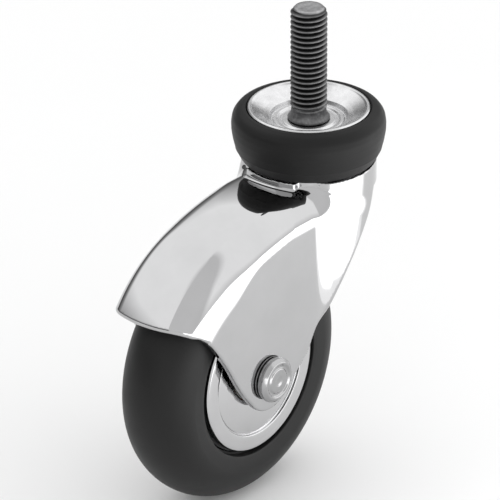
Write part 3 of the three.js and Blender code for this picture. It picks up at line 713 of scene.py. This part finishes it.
def surface_of(field, low, high, cell):
    """Surface nets over a grid, then Newton steps onto the exact surface. Returns verts, quads, normals."""
    counts = np.ceil((high - low) / cell).astype(int) + 1
    axes = [low[i] + cell * np.arange(counts[i]) for i in range(3)]
    values = np.empty(counts)
    for i, x in enumerate(axes[0]):
        yy, zz = np.meshgrid(axes[1], axes[2], indexing="ij")
        layer = np.stack([np.full(yy.size, x), yy.ravel(), zz.ravel()], 1)
        values[i] = field(layer).reshape(counts[1], counts[2])
    inside = values < 0
    shape = counts - 1
    corner = [(a, b, c) for a in (0, 1) for b in (0, 1) for c in (0, 1)]
    total = np.zeros(shape, int)
    for a, b, c in corner:
        total += inside[a:a + shape[0], b:b + shape[1], c:c + shape[2]]
    active = (total > 0) & (total < 8)
    index = np.full(shape, -1)
    index[active] = np.arange(active.sum())
    cells = np.argwhere(active)
    crossings = np.zeros((len(cells), 3))
    hits = np.zeros(len(cells))
    for a in corner:
        for axis in range(3):
            if a[axis]:
                continue
            b = list(a)
            b[axis] = 1
            va = values[tuple((cells + a).T)]
            vb = values[tuple((cells + b).T)]
            cut = (va < 0) != (vb < 0)
            t = np.where(cut, va / np.where(cut, va - vb, 1), 0)
            spot = np.tile(np.array(a, float), (len(cells), 1))
            spot[:, axis] += t
            crossings += spot * cut[:, None]
            hits += cut
    verts = low + cell * (cells + crossings / hits[:, None])
    faces = []
    for axis in range(3):
        u, v = (axis + 1) % 3, (axis + 2) % 3
        step = np.eye(3, dtype=int)
        lower = inside[tuple(slice(0, shape[k]) if k == axis else slice(1, shape[k]) for k in range(3))]
        upper = inside[tuple(slice(1, shape[k] + 1) if k == axis else slice(1, shape[k]) for k in range(3))]
        where = np.argwhere(lower != upper)
        where += step[u] + step[v]
        out = lower[tuple((where - step[u] - step[v]).T)]
        ring = [where, where - step[u], where - step[u] - step[v], where - step[v]]
        quad = np.stack([index[tuple(q.T)] for q in ring], 1)
        quad = np.where(out[:, None], quad, quad[:, ::-1])
        faces.append(quad)
    faces = np.concatenate(faces)

    def gradient(points):
        h = 0.02
        g = np.stack([field(points + h * np.eye(3)[k]) - field(points - h * np.eye(3)[k]) for k in range(3)], 1)
        g /= 2 * h
        return g

    for _ in range(3):
        g = gradient(verts)
        size = np.maximum((g * g).sum(1), 0.2)
        move = -g * (field(verts) / size)[:, None]
        verts += np.clip(move, -0.5 * cell, 0.5 * cell)
    g = gradient(verts)
    normals = g / np.maximum(np.linalg.norm(g, axis=1), 1e-9)[:, None]
    return verts, faces, normals


def fork():
    low = np.array(FORK_LOW) - 2.0
    high = np.array(FORK_HIGH) + 2.0
    cell = 0.45
    verts, faces, normals = surface_of(fork_field, low, high, cell)
    return piece("fork_casting", verts, faces, "fork", "fork", ["fork_hood"], normals=normals)


# ---- Build --------------------------------------------------------------------------------------

threaded_stem()
raceway_cup()
bumper()
tyre()
disc("left", "cover_disc_left")
disc("right", "cover_disc_right")
axle_head("left", "axle_screw")
axle_head("right", "axle_barrel_nut")
axle_washer("left", "axle_washer_left")
axle_washer("right", "axle_washer_right")
fork()

CARRIED = {
    "upper_crown_race": "race", "lower_crown_race": "race", "lower_bearing_cone": "race",
    "pin_washer": "hardware", "pin_nut": "hardware", "wheel_core": "core",
    "hub_bush_left": "nylon", "hub_bush_right": "nylon",
}
for node_name, node in frame["nodes"].items():
    look = CARRIED.get(node_name) or ("ball" if "_ball_" in node_name else None)
    if look:
        for material_slot in node.material_slots:
            material_slot.material = LOOKS[look]

# ---- Stage, light and camera --------------------------------------------------------------------


def floor():
    """A plain pale flat sheet."""
    size = 6.0
    mesh = bpy.data.meshes.new("floor")
    mesh.from_pydata([(-size, -size, 0), (size, -size, 0), (size, size, 0), (-size, size, 0)], [], [(0, 1, 2, 3)])
    obj = bpy.data.objects.new("floor", mesh)
    obj.location = (0, 0, FLOOR_Z * MM)
    bpy.context.collection.objects.link(obj)
    m = Nodes("floor_look")
    m.set(Roughness=0.9, Specular_IOR_Level=0.1)
    cloud = m.noise(m.place(), 3.0, 3.0)
    m.link(m.ramp(cloud, (0.3, (0.855, 0.855, 0.855)), (0.7, (0.87, 0.87, 0.87))), m.shader.inputs["Base Color"])
    mesh.materials.append(m.material)


def panel(name, place, target, size, radiance):
    """A soft panel with the same brightness all over, wherever it stands."""
    data = bpy.data.lights.new(name, "AREA")
    data.shape = "RECTANGLE"
    data.size, data.size_y = size
    data.energy = radiance * math.pi * size[0] * size[1]
    obj = bpy.data.objects.new(name, data)
    obj.location = place
    obj.rotation_euler = (Vector(target) - Vector(place)).to_track_quat("-Z", "Y").to_euler()
    bpy.context.collection.objects.link(obj)
    return obj


def sky():
    """Even studio surround: pale on the camera's side, with a darker horizon on the far side."""
    world = bpy.data.worlds.new("studio")
    bpy.context.scene.world = world
    world.use_nodes = True
    tree = world.node_tree

    def add(kind, *links):
        node = tree.nodes.new(kind)
        for out, key in links:
            tree.links.new(out, node.inputs[key])
        return node

    def heights(z, *stops):
        node = add("ShaderNodeValToRGB", (z, "Fac"))
        elements = node.color_ramp.elements
        while len(elements) < len(stops):
            elements.new(0.5)
        for element, (position, value) in zip(elements, stops):
            element.position = position
            element.color = (value, value, value, 1.0)
        return node.outputs["Color"]

    def between(value, low, high):
        node = add("ShaderNodeMapRange", (value, "Value"))
        node.inputs["From Min"].default_value = low
        node.inputs["From Max"].default_value = high
        return node.outputs["Result"]

    def blend(factor, a, b):
        node = add("ShaderNodeMix")
        node.data_type = "RGBA"
        for out, key in ((factor, "Factor"), (a, "A"), (b, "B")):
            tree.links.new(out, node.inputs[key])
        return node.outputs["Result"]

    coords = tree.nodes.new("ShaderNodeTexCoord")
    split = add("ShaderNodeSeparateXYZ", (coords.outputs["Generated"], "Vector"))
    lean = add("ShaderNodeMath", (split.outputs["Z"], 0), (split.outputs["Y"], 2))
    lean.operation = "MULTIPLY_ADD"
    lean.inputs[1].default_value = -0.385
    near = heights(split.outputs["Z"], (0.0, 0.95), (0.3, 1.0), (1.0, 1.0))
    window = heights(split.outputs["Z"], (0.0, 1.1), (0.2, 1.5), (1.0, 1.5))
    far = heights(split.outputs["Z"], (0.0, 0.1), (0.2, 0.2), (0.4, 0.5), (0.6, 1.48), (1.0, 1.48))
    near = blend(between(split.outputs["X"], 0.14, 0.24), near, window)
    both = blend(between(lean.outputs["Value"], 0.0, 0.04), near, far)
    tree.links.new(both, tree.nodes["Background"].inputs["Color"])


def camera():
    azimuth, elevation, roll = math.radians(-50.79), math.radians(26.54), math.radians(-0.18)
    back = Vector((math.sin(azimuth) * math.cos(elevation), -math.cos(azimuth) * math.cos(elevation), math.sin(elevation)))
    target = Vector((-23.61, 1.36, -34.91)) * MM
    distance = 1.4072
    data = bpy.data.cameras.new("camera")
    data.sensor_width = 36.0
    data.lens = 375.3
    data.clip_start, data.clip_end = 0.1, 20.0
    obj = bpy.data.objects.new("camera", data)
    right = Vector((math.cos(azimuth), math.sin(azimuth), 0.0))
    up = back.cross(right)
    turn = Matrix((right, up, back)).transposed().to_4x4() @ Matrix.Rotation(roll, 4, "Z")
    obj.matrix_world = Matrix.Translation(target + back * distance) @ turn
    bpy.context.collection.objects.link(obj)
    bpy.context.scene.camera = obj


floor()
sky()
panel("low_strip", (0.105, -0.19, -0.066), (0.105, 0.0, -0.066), (0.51, 0.069), 2.0)
panel("floor_strip", (0.105, -0.155, FLOOR_Z * MM + 0.003), (0.105, -0.155, 1.0), (0.39, 0.07), 0.7)
panel("floor_edge", (0.105, -0.151, FLOOR_Z * MM + 0.002), (0.105, -0.151, 1.0), (0.41, 0.078), 0.5)
camera()
bpy.context.scene.view_settings.view_transform = "Standard"
